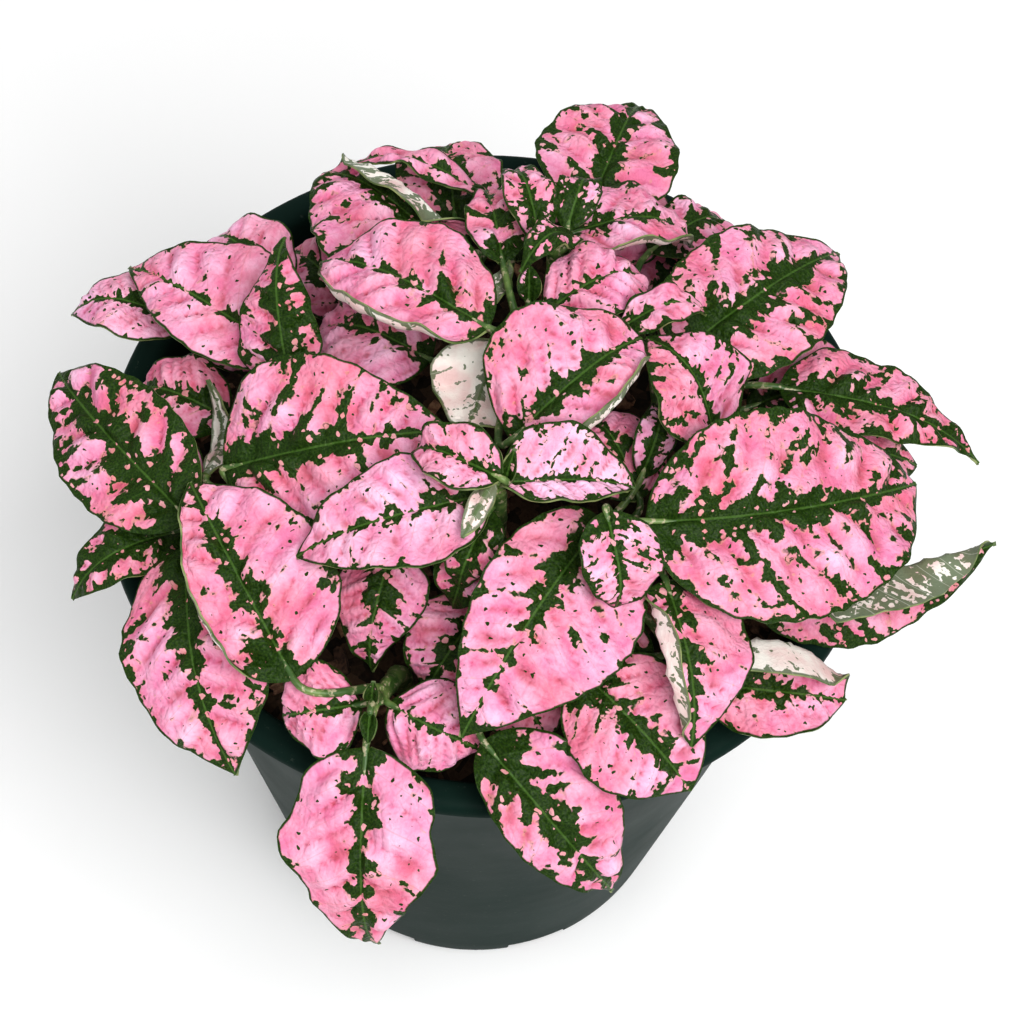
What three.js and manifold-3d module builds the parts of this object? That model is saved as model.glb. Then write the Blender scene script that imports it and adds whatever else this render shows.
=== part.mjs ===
// Potted polka dot plant in a plain nursery pot. Millimetres, +Z up, origin at the centre of the pot's base.
// Every leaf is a thin curved blade with a waved edge, given by the places of its base and its tip.
// Each leafy stem, with its leaf stalks and leaves, is one solid that stands in a hole in the soil.
import * as THREE from "three";
import Module from "manifold-3d";

const wasm = await Module();
wasm.setup();

// Pot
const potHeight = 146;
const rimRadius = 76;
const baseRadius = 46;
const wallTopRadius = 68.5;
const wallThickness = 1.8;
const floorThickness = 2.2;
const footChamfer = 2.5;
const bandDrop = 9; // the wall ends this far below the top, where the lip's band begins
const footNotches = 8;
const footNotchSize = { deep: 12, wide: 14, high: 4.5 };
const potSides = 40;

// The rolled lip from outside to inside: steps in from the rim's radius and down from the pot's top.
const lipProfile = [
  [5.5, 8],
  [5, 4.4],
  [0.6, 3.6],
  [0, 2.6],
  [0.4, 0.8],
  [1.8, 0],
  [4.8, 0],
  [6.4, 0.9],
  [7, 3],
];

// Soil
const soilTop = potHeight - 11;
const soilGap = 0.35;
const soilRelief = 1.3;
const soilRings = 6;
const soilSides = 32;
const soilEdgeStep = 0.6;

// Stems and leaf stalks
const stemFootRadius = 2.2;
const stemTopRadius = 1.5;
const stemSides = 6;
const stemSteps = 6;
const stemDepth = 14;
const stemUpright = 3; // the stem is straight up to this far above the soil
const stemBendShare = { across: 0.25, up: 0.4 };
const holeClearance = 0.35;
const holeSides = 8;
const stalkRadius = 1;
const stalkEndRadius = 0.75;
const stalkSides = 4;
const stalkReach = 0.04; // share of the blade's length that the stalk runs on under it
const stalkLowest = 6; // least height over the soil at which a stalk leaves its stem
const stalkDrop = 3;
const stalkSlope = 0.45;
const stalkBend = 0.35;
const longStalk = 12;

// Leaf blades
const bladeThickness = 0.8;
const bladeEndWidth = 1.2;
const bladeFootWidth = 2.2;
const bladeFootThickness = 1.9;
const wideLeaf = 22;
const smallLeaf = 8;
const rowShift = 0.05; // rows across the blade are drawn this far towards its two ends
const bladeLean = 0.009; // blades face outwards by this much for each millimetre from the axis
const nodPeak = 6.75;
const edgeWaves = 2.6;
const edgeWaveLag = 1.3;
const edgeWaveFade = 6;
const shoulderWaves = 3.2;
const rollFade = { base: 4, tip: 5 };
const creaseLimit = 2.2;

const leafShape = {
  roll: 0, // degrees about the midrib, the right half going down
  arch: 4, // rise of the middle over the line from base to tip
  nod: 2, // rise near the tip, which then drops
  sweep: 0, // bend of the midrib to the right
  fold: 8, // degrees that the halves stand up from the midrib
  cup: -20, // degrees more towards the edge, negative where the edge hangs
  curlLeft: 0, // degrees that the left edge rolls up
  curlRight: 0,
  curlStart: 0.55, // shares of the half's width between which it rolls up
  curlEnd: 1,
  uneven: 0, // share by which the left half is the wider
  widest: 0.4, // place of the widest point along the leaf
  blunt: 0.55, // how full the outline is at the base
  point: 0.9, // how drawn out the tip is
  wave: 0.8, // height of the edge's waves
  shoulder: 0, // share by which the outline goes in and out
  phase: 0,
};

const leaf = (at, to, width, shape = {}) => ({ ...leafShape, at, to, width, ...shape });

// Leaves seen from their underside are turned over about the midrib.
const turned = { roll: 180 };

// Leaves at the very end of a shoot, only just opening.
const bud = { arch: 0.5, nod: 0, fold: 25, cup: 0, wave: 0 };

// A half that lies folded over the other one from the midrib on.
const foldedOver = { curlLeft: 128, curlStart: 0, curlEnd: 0.25 };

// Each stem has the place of its foot in the soil, its top, and its leaves from base to tip.
const stems = {
  stem_centre: {
    foot: [2, -22],
    top: [2, -30, 183],
    leaves: [
      leaf([2, -31, 187], [26, -26, 180], 17, { roll: -15, arch: 1, nod: 1, fold: 25, cup: 0, uneven: 0.25 }),
      leaf([0, -32.4, 185], [-33, -41.8, 174], 22, {
        roll: 11,
        arch: 2,
        fold: 7,
        cup: -8,
        widest: 0.33,
        blunt: 0.45,
      }),
      leaf([2, -32, 190], [-13, -25, 186], 13, { arch: 2, fold: 25, cup: 0 }),
      leaf([-17, -35, 166], [-19, -52, 152], 18, { fold: -5, cup: -10, widest: 0.22, blunt: 0.4, point: 1.3 }),
      leaf([1, -40, 160], [-9, -55, 150], 20),
      leaf([1, -30, 170], [-5, -43, 162], 14),
      leaf([3, -31, 187.5], [4.5, -27, 194], 4, bud),
      leaf([0.6, -32.3, 189], [-3.6, -43.3, 187.5], 4.5, { ...turned, arch: 0, nod: 0, wave: 0 }),
      leaf([0.5, -31, 177], [-4, -42, 168], 10),
    ],
  },
  stem_centre_right: {
    foot: [18, -24],
    top: [22, -34, 183],
    leaves: [
      leaf([21, -35.5, 187], [24, -47.3, 174.3], 15, { arch: 3, fold: 10, cup: -25, uneven: 0.1, point: 0.7 }),
      leaf([28.5, -31.5, 178], [79.8, -10, 163], 40, { arch: 5, sweep: 3, cup: -15, uneven: -0.03, point: 0.8 }),
      leaf([21, -32, 178], [-1.5, -68, 160], 30, {
        sweep: 1.5,
        fold: 6,
        cup: -15,
        uneven: 0.22,
        widest: 0.36,
        blunt: 0.42,
        point: 1.05,
      }),
      leaf([33, -40, 172], [39.3, -66.3, 159.5], 23, {
        fold: 0,
        cup: -15,
        curlRight: 128,
        curlStart: 0.35,
        curlEnd: 0.7,
        uneven: 0.17,
        point: 1,
      }),
      leaf([28, -16, 168], [30, -1, 170], 8),
      leaf([28, -19, 165], [17, -2, 163], 20),
      leaf([32, -48, 158], [23, -45, 152], 14),
    ],
  },
  stem_front_left: {
    foot: [-14, -46],
    top: [-17, -61, 158],
    leaves: [
      leaf([-20, -62, 158], [-34, -63.4, 154], 18, { nod: 1, cup: -25, point: 0.7 }),
      leaf([-15, -61, 157], [2, -65.5, 150.5], 19, { nod: 0.5, fold: -10, point: 0.7 }),
      leaf([-32, -61, 164], [-54.5, -25, 169], 28, {
        roll: 15,
        arch: 2.5,
        fold: 6,
        cup: -12,
        curlLeft: 110,
        curlStart: 0.72,
        uneven: -0.2,
      }),
      leaf([-18.4, -70, 157], [-14.5, -92, 120], 28, {
        arch: 9,
        nod: 3,
        uneven: -0.02,
        widest: 0.33,
        blunt: 0.5,
        point: 1.3,
        shoulder: 0.08,
      }),
      leaf([-17.9, -66.4, 163.5], [-17.8, -71.4, 161.5], 3.4, bud),
      leaf([-17.8, -63.5, 163], [-17.6, -61.7, 167], 3, bud),
    ],
  },
  stem_left: {
    foot: [-34, -18],
    top: [-46, -24, 164],
    leaves: [
      leaf([-54.4, -30, 164], [-84.7, 5.5, 156], 25, { arch: 3, cup: -15, point: 0.8 }),
      leaf([-53.1, -18, 160], [-54.9, 1.1, 164], 4.5, turned),
      leaf([-25, -22, 166], [-49, -19, 160], 15),
      leaf([-57, -27, 155], [-76, -40, 149], 14),
      leaf([-55, -33, 160], [-42, -72, 146], 32, { arch: 5.5, uneven: 0.1, point: 1 }),
      leaf([-49, -20, 167], [-7.5, -16.5, 180], 33, {
        roll: 14,
        cup: -15,
        uneven: 0.1,
        widest: 0.33,
        point: 1,
      }),
      leaf([-51, -2, 156], [-70, 6, 150], 18),
      leaf([-54, -16, 154], [-80, -9, 150], 20),
    ],
  },
  stem_upper_left: {
    foot: [-30, 4],
    top: [-38, 2, 166],
    leaves: [
      leaf([-39.1, 4.4, 168], [-74, 28.7, 160], 25, { arch: 3, cup: -10, uneven: -0.2, point: 1.2 }),
      leaf([-38.2, -4.2, 171.5], [-42, 24.4, 179.5], 18, {
        fold: -15,
        cup: -15,
        uneven: 0.2,
        widest: 0.25,
        point: 1.4,
      }),
      leaf([-43.5, 27, 158], [-59, 41.5, 154], 19),
      leaf([-62, 19, 156], [-84.8, 21.6, 153], 18),
      leaf([-44, 15, 151], [-61, 29, 150], 20),
    ],
  },
  stem_top_centre: {
    foot: [6, 6],
    top: [4, 8, 178],
    leaves: [
      leaf([-2.2, 2.5, 186], [-34.7, 20.3, 178], 29, {
        arch: 3,
        cup: -12,
        curlLeft: 115,
        curlStart: 0.6,
        widest: 0.48,
        point: 1,
      }),
      leaf([-0.6, 23, 178.5], [-5.3, 44, 173], 12, { arch: 2, nod: 1, fold: 15 }),
      leaf([8, 12, 179], [27, 24, 174], 18, { cup: -30, point: 0.7 }),
      leaf([3.5, -17.5, 180], [26, 4, 184], 30, {
        cup: -15,
        curlRight: 100,
        curlStart: 0.65,
        uneven: 0.15,
        point: 0.75,
      }),
      leaf([-13, 8, 166], [-36, 16, 160], 26),
      leaf([-0.5, 4, 180], [-5, -13.5, 176], 21, { ...turned, arch: 1 }),
      leaf([-4.4, 15, 176], [0.5, 22.5, 180], 5, { ...turned, arch: 1 }),
      leaf([4.8, 15.4, 177], [4.4, 21.5, 180.5], 5, bud),
    ],
  },
  stem_back: {
    foot: [10, 24],
    top: [9, 27, 180],
    leaves: [
      leaf([6, 27, 181], [-1, 45, 177], 10),
      leaf([11, 30, 181], [14, 43, 177], 9),
      leaf([13, 28, 181], [3, 17, 184], 8),
      leaf([12, 33, 176], [36, 38, 168], 23, { curlRight: 90 }),
      leaf([15.5, 45.5, 168], [25, 82, 156], 29, { cup: -15, uneven: 0.05, widest: 0.3, point: 1.2 }),
      leaf([18, 36, 160], [25, 64, 154], 22),
    ],
  },
  stem_back_left: {
    foot: [-8, 34],
    top: [-6, 34, 166],
    leaves: [
      leaf([-9, 29, 169], [-38, 52.5, 164], 31, {
        arch: 3,
        curlRight: 132,
        curlStart: 0.2,
        curlEnd: 0.6,
        uneven: 0.3,
      }),
      leaf([-4, 48, 165], [-34, 56, 161], 8),
      leaf([-11, 46, 160], [-15, 70, 152], 22),
      leaf([-21, 30, 155], [-33, 57, 151], 24),
      leaf([1, 41, 155], [3, 65, 151], 18),
      leaf([-29, 27, 151], [-45, 42.5, 149.5], 18),
    ],
  },
  stem_back_right: {
    foot: [32, 12],
    top: [36, 5, 168],
    leaves: [
      leaf([32, 6, 175], [65.1, 41, 165], 30, { cup: -15, point: 0.7 }),
      leaf([28, 39, 164], [44, 51, 156], 15),
      leaf([41, -9, 172], [27, 6, 181], 23, { cup: -10 }),
      leaf([22, 8, 181], [38, 14, 179], 9),
      leaf([54, 9, 164], [94.3, 3.2, 151], 21, { uneven: 0.15, widest: 0.3, point: 1.4 }),
      leaf([37, 22, 157], [57, 45, 152], 26),
      leaf([49, 11, 153], [75, 20, 150], 20),
      leaf([31, 34, 151], [40, 62, 149.5], 18),
    ],
  },
  stem_right: {
    foot: [38, -22],
    top: [44, -33, 158],
    leaves: [
      leaf([50, -33, 156], [97, -14.8, 151.5], 26, {
        ...foldedOver,
        roll: 22,
        arch: 3,
        nod: 1,
        widest: 0.35,
        point: 1.2,
      }),
      leaf([41.2, -50.5, 153.5], [68.3, -50, 150], 27, {
        arch: 2,
        nod: 1,
        fold: 15,
        cup: -10,
        curlLeft: 132,
        curlStart: 0.4,
        curlEnd: 0.62,
        uneven: 0.33,
        point: 0.8,
      }),
      leaf([51, -19, 151], [79, -12, 149.5], 16),
      leaf([50, -4, 157], [82, 1, 152], 22),
    ],
  },
  stem_front_right: {
    foot: [12, -42],
    top: [12, -54, 160],
    leaves: [
      leaf([18.5, -53.5, 162], [40, -71, 151], 26, { arch: 3.5, widest: 0.5 }),
      leaf([2.4, -66.6, 156], [28, -82.4, 130], 21.5, { arch: 8, uneven: 0.22, blunt: 0.45, point: 1.2 }),
      leaf([4, -46, 151], [14, -62, 147], 20),
    ],
  },
};

const degrees = Math.PI / 180;
const up = new THREE.Vector3(0, 0, 1);
const vector = (list) => new THREE.Vector3(...list);

// A closed mesh, given by its points and by faces that share them, as a solid to join or cut.
function solidOf(points, faces) {
  const vertProperties = new Float32Array(points.flatMap((p) => [p.x, p.y, p.z]));
  const triVerts = new Uint32Array(faces.flat());
  return new wasm.Manifold(new wasm.Mesh({ numProp: 3, vertProperties, triVerts }));
}

function meshOf(name, solid, material) {
  const { vertProperties, triVerts } = solid.getMesh();
  const geometry = new THREE.BufferGeometry();
  geometry.setAttribute("position", new THREE.BufferAttribute(vertProperties, 3));
  geometry.setIndex(new THREE.BufferAttribute(triVerts, 1));
  geometry.computeVertexNormals();
  const mesh = new THREE.Mesh(geometry, material);
  mesh.name = name;
  return mesh;
}

// A round solid, closed on the axis, from [radius, height, (x, y) => extra height] points, bottom first.
function turnedSolid(profile, sides) {
  const [first, ...rest] = profile;
  const last = rest.pop();
  const points = [new THREE.Vector3(0, 0, first[1])];
  for (const [radius, height, relief = () => 0] of rest) {
    for (let k = 0; k < sides; k++) {
      const angle = (2 * Math.PI * k) / sides;
      const x = radius * Math.cos(angle);
      const y = radius * Math.sin(angle);
      points.push(new THREE.Vector3(x, y, height + relief(x, y)));
    }
  }
  points.push(new THREE.Vector3(0, 0, last[1]));
  const at = (ring, k) => 1 + ring * sides + (k % sides);
  const faces = [];
  for (let k = 0; k < sides; k++) {
    faces.push([0, at(0, k + 1), at(0, k)]);
    for (let ring = 0; ring + 1 < rest.length; ring++) {
      faces.push([at(ring, k), at(ring, k + 1), at(ring + 1, k + 1)]);
      faces.push([at(ring, k), at(ring + 1, k + 1), at(ring + 1, k)]);
    }
    faces.push([at(rest.length - 1, k), at(rest.length - 1, k + 1), points.length - 1]);
  }
  return solidOf(points, faces);
}

// A tapered tube along a list of points, with flat ends.
function tube(path, radii, sides) {
  const points = [];
  const faces = [];
  const last = path.length - 1;
  const heading = (i) => path[Math.min(i + 1, last)].clone().sub(path[Math.max(i - 1, 0)]).normalize();
  const startHeading = heading(0);
  const steep = Math.abs(startHeading.z) > Math.abs(startHeading.x);
  const across = steep ? new THREE.Vector3(1, 0, 0) : up;
  let side = across.clone().cross(startHeading).normalize();
  path.forEach((centre, i) => {
    const ahead = heading(i);
    side = side.addScaledVector(ahead, -side.dot(ahead)).normalize();
    const other = ahead.clone().cross(side);
    for (let k = 0; k < sides; k++) {
      const angle = (2 * Math.PI * k) / sides;
      const point = centre.clone();
      point.addScaledVector(side, radii[i] * Math.cos(angle));
      points.push(point.addScaledVector(other, radii[i] * Math.sin(angle)));
    }
    side = side.clone();
  });
  const at = (ring, k) => ring * sides + (k % sides);
  for (let ring = 0; ring < last; ring++) {
    for (let k = 0; k < sides; k++) {
      faces.push([at(ring, k), at(ring, k + 1), at(ring + 1, k + 1)]);
      faces.push([at(ring, k), at(ring + 1, k + 1), at(ring + 1, k)]);
    }
  }
  for (let k = 1; k + 1 < sides; k++) {
    faces.push([at(0, 0), at(0, k + 1), at(0, k)]);
    faces.push([at(last, 0), at(last, k), at(last, k + 1)]);
  }
  return solidOf(points, faces);
}

// Evenly spaced values from one to another.
function taper(from, to, count) {
  return Array.from({ length: count }, (_, i) => from + ((to - from) * i) / (count - 1));
}

// The midrib of a leaf: its points, and the directions up and right at each, seen from base to tip.
function midribOf({ at, to, roll, arch, nod, sweep }, places) {
  const base = vector(at);
  const span = vector(to).sub(base);
  const along = span.clone().normalize();
  const middle = base.clone().addScaledVector(span, 0.5);
  const lean = new THREE.Vector3(middle.x * bladeLean, middle.y * bladeLean, 1).normalize();
  const top = lean.addScaledVector(along, -lean.dot(along)).normalize();
  top.applyAxisAngle(along, roll * degrees);
  const right = along.clone().cross(top);
  const pointAt = (s) => {
    const hump = 4 * s * (1 - s);
    const rise = arch * hump + nod * nodPeak * s * s * (1 - s);
    const point = base.clone().addScaledVector(span, s).addScaledVector(top, rise);
    return point.addScaledVector(right, sweep * hump);
  };
  const step = 0.01;
  return places.map((s) => {
    const point = pointAt(s);
    const ahead = pointAt(s + step).sub(pointAt(s - step)).normalize();
    const above = top.clone().addScaledVector(ahead, -top.dot(ahead)).normalize();
    return { s, point, ahead, above, right: ahead.clone().cross(above) };
  });
}

// Half the width of a leaf's outline at s, as a share of the widest: a round that is full or drawn out.
function outlineAt(s, { widest, blunt, point }) {
  const near = s < widest ? s / widest : (1 - s) / (1 - widest);
  return (1 - (1 - near) ** 2) ** (s < widest ? blunt : point);
}

// Places across one half of a blade, from the midrib to the edge. A rolled half has a crease in its roll.
function placesAcross(curl, { width, curlStart, curlEnd }) {
  if (curl) return [(curlStart + curlEnd) / 2, 1];
  return width < wideLeaf ? [1] : [0.5, 1];
}

// One half of a row across the blade: its places from the midrib out, and the tilt of the strip up to each.
function halfRow({ s, point, above, right }, shape, side) {
  const curl = side < 0 ? shape.curlLeft : shape.curlRight;
  const ends = Math.min(1, rollFade.base * s, rollFade.tip * (1 - s));
  const share = s <= 0 || s >= 1 ? 0 : outlineAt(s, shape);
  const notch = 1 + shape.shoulder * Math.sin(2 * Math.PI * shoulderWaves * s + shape.phase + side);
  const least = s > 0 ? bladeEndWidth : bladeFootWidth;
  const reach = Math.max(least / 2, (shape.width / 2) * share * (1 - side * shape.uneven) * notch);
  const waveEnds = Math.min(1, edgeWaveFade * s, edgeWaveFade * (1 - s));
  const waveHere = Math.sin(2 * Math.PI * edgeWaves * s + shape.phase + edgeWaveLag * side);
  const place = point.clone();
  let from = 0;
  return placesAcross(curl, shape).map((v) => {
    const rolled = from > 0 ? curl * ends : 0;
    const tilt = (shape.fold + (shape.cup * (from + v)) / 2 + rolled) * degrees;
    place.addScaledVector(right, side * Math.cos(tilt) * reach * (v - from));
    place.addScaledVector(above, Math.sin(tilt) * reach * (v - from));
    from = v;
    return { tilt, centre: place.clone().addScaledVector(above, shape.wave * v * v * waveHere * waveEnds) };
  });
}

// A row across the blade, from left edge to right edge: the middle of the blade and the way to its upper face.
function rowAcross(spot, shape) {
  const faceAt = (side, turn, bend) => {
    const face = spot.above.clone().multiplyScalar(Math.cos(turn));
    face.addScaledVector(spot.right, -side * Math.sin(turn));
    return face.multiplyScalar(Math.min(creaseLimit, 1 / Math.cos(bend)));
  };
  const [left, right] = [-1, 1].map((side) => {
    const half = halfRow(spot, shape, side);
    return half.map(({ tilt, centre }, j) => {
      const next = j + 1 < half.length ? half[j + 1].tilt : tilt;
      return { tilt, centre, face: faceAt(side, (tilt + next) / 2, (next - tilt) / 2) };
    });
  });
  const turn = (right[0].tilt - left[0].tilt) / 2;
  const bend = (right[0].tilt + left[0].tilt) / 2;
  return [...left.reverse(), { centre: spot.point, face: faceAt(1, turn, bend) }, ...right];
}

// The blade of a leaf as a thin curved solid, its two faces split into triangles alike.
function bladeOf(shape) {
  const rows = shape.width < smallLeaf ? 4 : shape.width < wideLeaf ? 6 : 7;
  const places = taper(0, 1, rows + 1).map((s) => s - rowShift * Math.sin(2 * Math.PI * s));
  const upper = [];
  const lower = [];
  let columns = 0;
  for (const spot of midribOf(shape, places)) {
    const row = rowAcross(spot, shape);
    const thickness = spot.s > 0 ? bladeThickness : bladeFootThickness;
    columns = row.length;
    for (const { centre, face } of row) {
      upper.push(centre.clone().addScaledVector(face, thickness / 2));
      lower.push(centre.clone().addScaledVector(face, -thickness / 2));
    }
  }
  const at = (i, k) => i * columns + k;
  const below = upper.length;
  const faces = [];
  for (let i = 0; i < rows; i++) {
    for (let k = 0; k + 1 < columns; k++) {
      for (const [a, b, c] of [
        [at(i, k), at(i, k + 1), at(i + 1, k + 1)],
        [at(i, k), at(i + 1, k + 1), at(i + 1, k)],
      ]) {
        faces.push([a, b, c], [below + c, below + b, below + a]);
      }
    }
  }
  const edge = [];
  for (let k = 0; k + 1 < columns; k++) edge.push(at(0, k));
  for (let i = 0; i < rows; i++) edge.push(at(i, columns - 1));
  for (let k = columns - 1; k > 0; k--) edge.push(at(rows, k));
  for (let i = rows; i > 0; i--) edge.push(at(i, 0));
  edge.forEach((a, i) => {
    const b = edge[(i + 1) % edge.length];
    faces.push([a, below + a, below + b], [a, below + b, b]);
  });
  return solidOf([...upper, ...lower], faces);
}

// The stem's centre line, straight in its hole and then bending to its top.
function stemPath({ foot, top }) {
  const [x, y] = foot;
  const start = new THREE.Vector3(x, y, soilTop + stemUpright);
  const end = vector(top);
  const bend = new THREE.Vector3(
    start.x + (end.x - start.x) * stemBendShare.across,
    start.y + (end.y - start.y) * stemBendShare.across,
    start.z + (end.z - start.z) * stemBendShare.up,
  );
  const curve = new THREE.CatmullRomCurve3([start, bend, end]);
  return [new THREE.Vector3(x, y, soilTop - stemDepth), ...curve.getPoints(stemSteps)];
}

// A leaf's stalk, from the stem to the base of its blade and on under its midrib.
function stalkOf(shape, path) {
  const [base, end] = midribOf(shape, [0, stalkReach]);
  const reach = Math.min(...path.map((p) => Math.hypot(p.x - base.point.x, p.y - base.point.y)));
  const highest = path.at(-1).z - 1;
  const wanted = Math.min(base.point.z - stalkDrop - stalkSlope * reach, highest);
  const height = Math.max(soilTop + stalkLowest, wanted);
  const above = path.findIndex((p) => p.z >= height);
  const from = path[above - 1];
  const start = from.clone().lerp(path[above], (height - from.z) / (path[above].z - from.z));
  const length = start.distanceTo(base.point);
  const lift = start.clone().addScaledVector(up, stalkBend * length);
  const arrive = base.point.clone().addScaledVector(base.ahead, -stalkBend * length);
  const curve = new THREE.CubicBezierCurve3(start, lift, arrive, base.point);
  const points = [...curve.getPoints(length > longStalk ? 3 : 2), end.point];
  return tube(points, taper(stalkRadius, stalkEndRadius, points.length), stalkSides);
}

function leafyStem({ foot, top, leaves }) {
  const path = stemPath({ foot, top });
  let solid = tube(path, taper(stemFootRadius, stemTopRadius, path.length), stemSides);
  for (const shape of leaves) solid = solid.add(stalkOf(shape, path)).add(bladeOf(shape));
  return solid;
}

const wallInsideTop = wallTopRadius - wallThickness;
const wallInsideFoot = baseRadius - wallThickness;
const bandHeight = potHeight - bandDrop;

// The pot's wall from its base to the rim, over the lip and down inside to the floor.
function potSolid() {
  const profile = [
    [0, 0],
    [baseRadius - footChamfer, 0],
    [baseRadius, footChamfer],
    [wallTopRadius, bandHeight],
    ...lipProfile.map(([inward, down]) => [rimRadius - inward, potHeight - down]),
    [wallInsideTop, bandHeight],
    [wallInsideFoot, floorThickness],
    [0, floorThickness],
  ];
  let solid = turnedSolid(profile, potSides);
  const { deep, wide, high } = footNotchSize;
  for (let i = 0; i < footNotches; i++) {
    const box = new THREE.BoxGeometry(deep, wide, 2 * high);
    box.translate(baseRadius, 0, 0);
    box.rotateZ(((i + 0.5) / footNotches) * 2 * Math.PI);
    solid = solid.subtract(boxSolid(box));
  }
  return solid;
}

// A box geometry as a solid: its 24 corners come down to 8 shared ones.
function boxSolid(box) {
  const corners = [];
  const place = new Map();
  const source = box.getAttribute("position");
  const shared = Array.from({ length: source.count }, (_, i) => {
    const corner = new THREE.Vector3().fromBufferAttribute(source, i);
    const key = corner.toArray().map((c) => c.toFixed(3)).join();
    if (!place.has(key)) {
      place.set(key, corners.length);
      corners.push(corner);
    }
    return place.get(key);
  });
  const index = box.getIndex().array;
  const faces = [];
  for (let i = 0; i < index.length; i += 3) {
    faces.push([shared[index[i]], shared[index[i + 1]], shared[index[i + 2]]]);
  }
  return solidOf(corners, faces);
}

// The lumps of the soil's top: two crossing waves, each bent by a longer one.
function lumps(x, y) {
  const first = Math.sin(0.31 * x + 1.7 * Math.sin(0.13 * y));
  const second = Math.sin(0.27 * y + 2.1 * Math.sin(0.17 * x + 1));
  return soilRelief * (first + second);
}

// The soil fills the pot up to a lumpy top, with a plain hole for each stem.
function soilSolid() {
  const wallSlope = (wallInsideTop - wallInsideFoot) / (bandHeight - floorThickness);
  const insideAt = (z) => wallInsideFoot + wallSlope * (z - floorThickness);
  const bottom = floorThickness + soilGap;
  const side = soilTop - 2 * soilRelief;
  const edge = insideAt(side) - soilGap;
  const profile = [
    [0, bottom],
    [insideAt(bottom) - soilGap, bottom],
    [edge, side],
  ];
  for (let ring = 0; ring < soilRings; ring++) {
    const radius = (edge - soilEdgeStep) * (1 - ring / soilRings);
    profile.push([radius, soilTop, ring ? lumps : () => -soilRelief]);
  }
  profile.push([0, soilTop]);
  let solid = turnedSolid(profile, soilSides);
  const holeRadius = stemFootRadius + holeClearance;
  const holeEnds = [soilTop - stemDepth - holeClearance, soilTop + 3 * stemUpright];
  for (const { foot } of Object.values(stems)) {
    const path = holeEnds.map((z) => new THREE.Vector3(...foot, z));
    solid = solid.subtract(tube(path, taper(holeRadius, holeRadius, path.length), holeSides));
  }
  return solid;
}

const plastic = new THREE.MeshStandardMaterial({ color: 0x24352f, roughness: 0.45, metalness: 0 });
const bark = new THREE.MeshStandardMaterial({ color: 0x4a3527, roughness: 0.95, metalness: 0 });
const foliage = new THREE.MeshStandardMaterial({ color: 0xd98aa6, roughness: 0.5, metalness: 0 });

const group = new THREE.Group();
group.add(meshOf("pot", potSolid(), plastic));
group.add(meshOf("soil", soilSolid(), bark));
for (const [name, stem] of Object.entries(stems)) group.add(meshOf(name, leafyStem(stem), foliage));

export default group;
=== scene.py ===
import math
import random

import bpy
import numpy as np
from mathutils import Matrix, Vector, noise


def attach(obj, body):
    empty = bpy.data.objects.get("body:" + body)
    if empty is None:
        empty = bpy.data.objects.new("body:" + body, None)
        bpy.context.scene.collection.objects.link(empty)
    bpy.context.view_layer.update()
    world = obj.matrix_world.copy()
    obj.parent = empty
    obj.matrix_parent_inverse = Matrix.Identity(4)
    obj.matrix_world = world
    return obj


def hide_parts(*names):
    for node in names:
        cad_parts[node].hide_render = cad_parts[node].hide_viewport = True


# Potted polka dot plant. Leaf and pot sizes below are in millimetres, and mm turns them into metres.
mm = 0.001
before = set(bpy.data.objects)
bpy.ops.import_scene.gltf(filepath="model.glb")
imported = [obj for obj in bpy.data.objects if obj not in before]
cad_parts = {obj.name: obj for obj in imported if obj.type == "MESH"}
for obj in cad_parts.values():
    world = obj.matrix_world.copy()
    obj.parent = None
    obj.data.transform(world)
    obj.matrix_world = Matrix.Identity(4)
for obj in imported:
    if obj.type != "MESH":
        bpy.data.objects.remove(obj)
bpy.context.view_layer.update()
print("frame loaded")

soilTop = 135


def deselectAll():
    bpy.ops.object.select_all(action="DESELECT")


def selectOnly(pieces):
    deselectAll()
    for piece in pieces:
        piece.select_set(True)
    bpy.context.view_layer.objects.active = pieces[0]


def applyModifiers(piece):
    selectOnly([piece])
    for modifier in list(piece.modifiers):
        bpy.ops.object.modifier_apply(modifier=modifier.name)


def shadeSmooth(degrees):
    bpy.ops.object.shade_smooth_by_angle(angle=math.radians(degrees))


def joinPieces(parts, name):
    selectOnly(parts)
    bpy.ops.object.join()
    piece = bpy.context.view_layer.objects.active
    piece.name = name
    piece.data.name = name
    return piece


# Node helpers. A value is a number or a socket.


def newMaterial(name):
    material = bpy.data.materials.new(name)
    material.use_nodes = True
    return material, material.node_tree, material.node_tree.nodes["Principled BSDF"]


def link(tree, value, socket):
    if hasattr(value, "is_output"):
        tree.links.new(value, socket)
    else:
        socket.default_value = value


def setSurface(tree, shader, colour, roughness, normal=None, specular=0.5):
    link(tree, colour, shader.inputs["Base Color"])
    link(tree, roughness, shader.inputs["Roughness"])
    shader.inputs["Specular IOR Level"].default_value = specular
    if normal:
        tree.links.new(normal, shader.inputs["Normal"])


def mathOf(tree, operation, *values, clamp=False):
    node = tree.nodes.new("ShaderNodeMath")
    node.operation = operation
    node.use_clamp = clamp
    for value, socket in zip(values, node.inputs):
        link(tree, value, socket)
    return node.outputs[0]


def plus(tree, first, *others):
    for value in others:
        first = mathOf(tree, "ADD", first, value)
    return first


def times(tree, first, *others):
    for value in others:
        first = mathOf(tree, "MULTIPLY", first, value)
    return first


def minus(tree, first, second):
    return mathOf(tree, "SUBTRACT", first, second)


def attributeOf(tree, name):
    node = tree.nodes.new("ShaderNodeAttribute")
    node.attribute_name = name
    return node


def partsOf(tree, vector):
    node = tree.nodes.new("ShaderNodeSeparateXYZ")
    tree.links.new(vector, node.inputs[0])
    return node.outputs


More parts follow.
